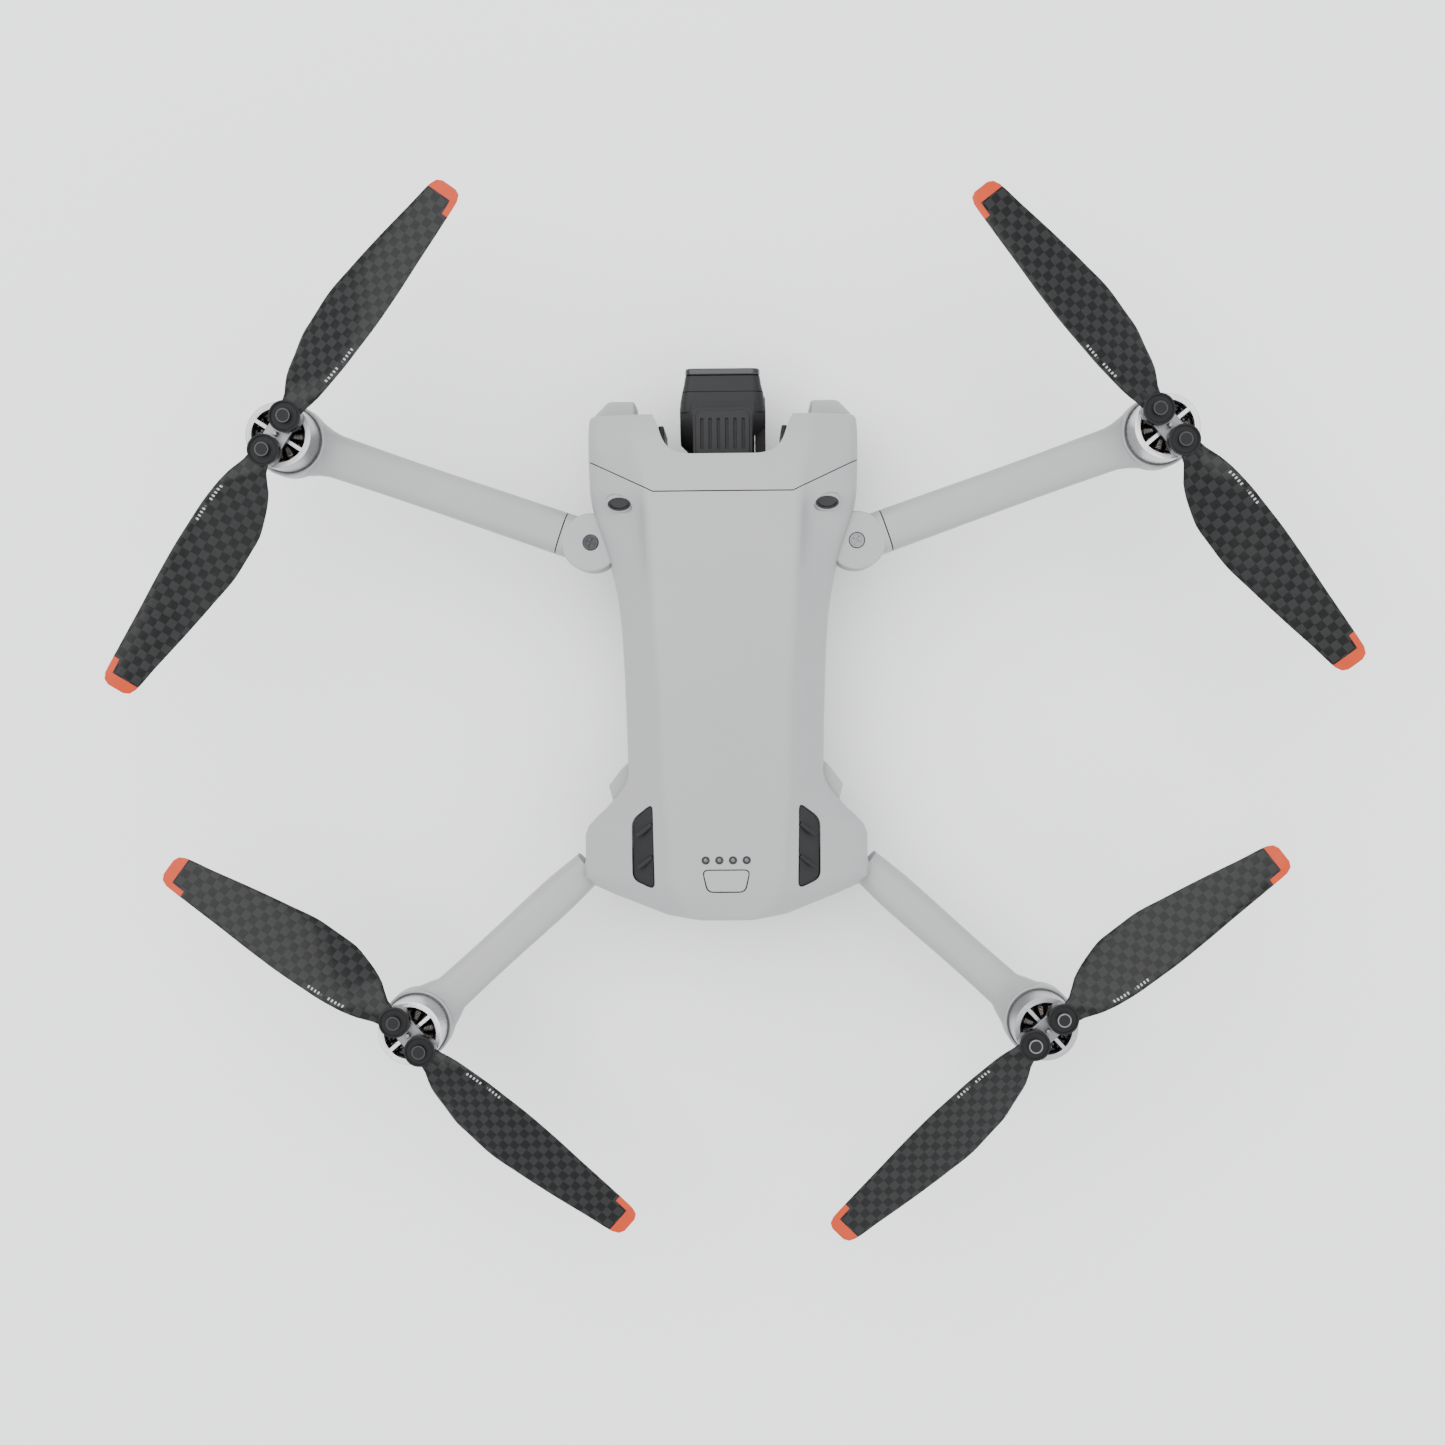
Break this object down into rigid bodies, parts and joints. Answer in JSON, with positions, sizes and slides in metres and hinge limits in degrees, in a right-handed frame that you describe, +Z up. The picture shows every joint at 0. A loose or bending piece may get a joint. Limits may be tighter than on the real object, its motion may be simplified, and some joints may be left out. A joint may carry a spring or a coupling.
{
  "type": "quadcopter drone",
  "caption": "Folding camera quadcopter with hinged arms, folding carbon blades on pivot screws, a three-axis camera gimbal in a nose notch and a slide-in tail battery.",
  "frame": {"origin": "middle of the flat belly, on the ground that it rests on", "axes": "+Z up, the nose faces -Y, +X is the drone's own left"},
  "size_m": [0.3151, 0.2714, 0.0648],
  "materials": {
    "shell_grey": "fine satin moulded plastic, pale grey",
    "dark_plastic": "satin dark grey plastic",
    "dark_window": "polished black window",
    "bright_metal": "turned aluminium",
    "screw_steel": "dark steel",
    "motor_copper": "enamelled copper windings",
    "carbon_blade": "checked carbon weave under clear lacquer",
    "board_green": "solder-masked circuit board"
  },
  "bodies": {
    "airframe": {"upper_shell": "shell_grey", "nose_cover": "shell_grey", "lower_shell": "shell_grey", "vent_left": "dark_plastic", "vent_right": "dark_plastic", "rear_vision_window_left": "dark_window", "rear_vision_window_right": "dark_window", "front_vision_window_left": "dark_window", "front_vision_window_right": "dark_window", "belly_vision_window": "dark_window", "status_light_guide": "dark_window", "port_block": "dark_plastic", "main_board": "board_green", "heat_sink": "bright_metal", "cooling_fan": "dark_plastic", "rear_hinge_bracket_left": "dark_plastic", "rear_hinge_bracket_right": "dark_plastic", "front_hinge_screw_left": "screw_steel", "front_hinge_screw_right": "screw_steel", "rear_hinge_pin_left": "screw_steel", "rear_hinge_pin_right": "screw_steel", "gimbal_liner": "dark_plastic", "yaw_motor_housing": "dark_plastic"},
    "power_button": {"power_button": "shell_grey"},
    "battery": {"battery_pack": "shell_grey"},
    "latch_left": {"battery_latch_left": "dark_plastic"},
    "latch_right": {"battery_latch_right": "dark_plastic"},
    "gimbal_yaw": {"gimbal_yaw_arm": "dark_plastic"},
    "gimbal_roll": {"gimbal_roll_arm": "dark_plastic"},
    "camera": {"camera_body": "dark_plastic", "camera_lens_barrel": "bright_metal", "camera_lens_glass": "dark_window"},
    "front_arm_left": {"front_arm_left": "shell_grey", "front_knuckle_left": "shell_grey", "stator_front_left": "motor_copper"},
    "rear_arm_left": {"rear_arm_left": "shell_grey", "stator_rear_left": "motor_copper"},
    "front_arm_right": {"front_arm_right": "shell_grey", "front_knuckle_right": "shell_grey", "stator_front_right": "motor_copper"},
    "rear_arm_right": {"rear_arm_right": "shell_grey", "stator_rear_right": "motor_copper"},
    "rotor_front_left": {"rotor_bell_front_left": "bright_metal", "prop_mount_front_left": "dark_plastic"},
    "blade_front_left_a": {"blade_front_left_a": "carbon_blade"},
    "blade_front_left_b": {"blade_front_left_b": "carbon_blade"},
    "rotor_front_right": {"rotor_bell_front_right": "bright_metal", "prop_mount_front_right": "dark_plastic"},
    "blade_front_right_a": {"blade_front_right_a": "carbon_blade"},
    "blade_front_right_b": {"blade_front_right_b": "carbon_blade"},
    "rotor_rear_left": {"rotor_bell_rear_left": "bright_metal", "prop_mount_rear_left": "dark_plastic"},
    "blade_rear_left_a": {"blade_rear_left_a": "carbon_blade"},
    "blade_rear_left_b": {"blade_rear_left_b": "carbon_blade"},
    "rotor_rear_right": {"rotor_bell_rear_right": "bright_metal", "prop_mount_rear_right": "dark_plastic"},
    "blade_rear_right_a": {"blade_rear_right_a": "carbon_blade"},
    "blade_rear_right_b": {"blade_rear_right_b": "carbon_blade"}
  },
  "joints": [
    {"name": "front_arm_left_fold", "type": "hinge", "parent": "airframe", "child": "front_arm_left", "pos_m": [0.035, -0.0334, 0.0285], "axis": [0, 0, 1], "range_deg": [0, 102]},
    {"name": "rear_arm_left_fold", "type": "hinge", "parent": "airframe", "child": "rear_arm_left", "pos_m": [0.0345, 0.051, 0.022], "axis": [-0.9438, 0.3305, 0], "range_deg": [0, 180]},
    {"name": "front_arm_right_fold", "type": "hinge", "parent": "airframe", "child": "front_arm_right", "pos_m": [-0.035, -0.0334, 0.0285], "axis": [0, 0, -1], "range_deg": [0, 102]},
    {"name": "rear_arm_right_fold", "type": "hinge", "parent": "airframe", "child": "rear_arm_right", "pos_m": [-0.0345, 0.051, 0.022], "axis": [-0.9438, -0.3305, 0], "range_deg": [0, 180]},
    {"name": "motor_front_left", "type": "hinge", "parent": "front_arm_left", "child": "rotor_front_left", "pos_m": [0.11159, -0.05977, 0.0465], "axis": [0, 0, 1], "continuous": true},
    {"name": "blade_front_left_a_fold", "type": "hinge", "parent": "rotor_front_left", "child": "blade_front_left_a", "pos_m": [0.11431, -0.05563, 0.0618], "axis": [0, 0, -1], "range_deg": [-63.5, 64.5]},
    {"name": "blade_front_left_b_fold", "type": "hinge", "parent": "rotor_front_left", "child": "blade_front_left_b", "pos_m": [0.10887, -0.06391, 0.0618], "axis": [0, 0, 1], "range_deg": [-93.1, 98.9]},
    {"name": "motor_front_right", "type": "hinge", "parent": "front_arm_right", "child": "rotor_front_right", "pos_m": [-0.11159, -0.05977, 0.0465], "axis": [0, 0, 1], "continuous": true},
    {"name": "blade_front_right_a_fold", "type": "hinge", "parent": "rotor_front_right", "child": "blade_front_right_a", "pos_m": [-0.11474, -0.05595, 0.0618], "axis": [0, 0, 1], "range_deg": [-61.7, 66.3]},
    {"name": "blade_front_right_b_fold", "type": "hinge", "parent": "rotor_front_right", "child": "blade_front_right_b", "pos_m": [-0.10844, -0.06359, 0.0618], "axis": [0, 0, -1], "range_deg": [-97.2, 94.8]},
    {"name": "motor_rear_left", "type": "hinge", "parent": "rear_arm_left", "child": "rotor_rear_left", "pos_m": [0.08258, 0.09399, 0.0345], "axis": [0, 0, 1], "continuous": true},
    {"name": "blade_rear_left_a_fold", "type": "hinge", "parent": "rotor_rear_left", "child": "blade_rear_left_a", "pos_m": [0.07936, 0.09775, 0.0498], "axis": [0, 0, -1], "range_deg": [-55.2, 72.8]},
    {"name": "blade_rear_left_b_fold", "type": "hinge", "parent": "rotor_rear_left", "child": "blade_rear_left_b", "pos_m": [0.08581, 0.09023, 0.0498], "axis": [0, 0, 1], "range_deg": [-110.3, 81.7]},
    {"name": "motor_rear_right", "type": "hinge", "parent": "rear_arm_right", "child": "rotor_rear_right", "pos_m": [-0.08258, 0.09399, 0.0345], "axis": [0, 0, 1], "continuous": true},
    {"name": "blade_rear_right_a_fold", "type": "hinge", "parent": "rotor_rear_right", "child": "blade_rear_right_a", "pos_m": [-0.07893, 0.09733, 0.0498], "axis": [0, 0, 1], "range_deg": [-65.5, 62.5]},
    {"name": "blade_rear_right_b_fold", "type": "hinge", "parent": "rotor_rear_right", "child": "blade_rear_right_b", "pos_m": [-0.08624, 0.09065, 0.0498], "axis": [0, 0, -1], "range_deg": [-101.9, 90.1]},
    {"name": "gimbal_yaw", "type": "hinge", "parent": "airframe", "child": "gimbal_yaw", "pos_m": [0, -0.058, 0.024], "axis": [0, 0, 1], "range_deg": [-16, 16]},
    {"name": "gimbal_roll", "type": "hinge", "parent": "gimbal_yaw", "child": "gimbal_roll", "pos_m": [0, -0.067, 0.024], "axis": [0, 1, 0], "range_deg": [-20, 20]},
    {"name": "gimbal_pitch", "type": "hinge", "parent": "gimbal_roll", "child": "camera", "pos_m": [0, -0.067, 0.024], "axis": [-1, 0, 0], "range_deg": [-90, 30]},
    {"name": "power_button_press", "type": "slide", "parent": "airframe", "child": "power_button", "axis": [0, 0, -1], "range_m": [0, 0.0008], "stiffness_N_per_m": 400, "springref_m": -0.001},
    {"name": "battery_slide", "type": "slide", "parent": "airframe", "child": "battery", "axis": [0, 1, 0], "range_m": [0, 0.095]},
    {"name": "battery_latch_left_press", "type": "slide", "parent": "battery", "child": "latch_left", "axis": [-1, 0, 0], "range_m": [0, 0.0012], "stiffness_N_per_m": 600, "springref_m": -0.001},
    {"name": "battery_latch_right_press", "type": "slide", "parent": "battery", "child": "latch_right", "axis": [1, 0, 0], "range_m": [0, 0.0012], "stiffness_N_per_m": 600, "springref_m": -0.001}
  ]
}
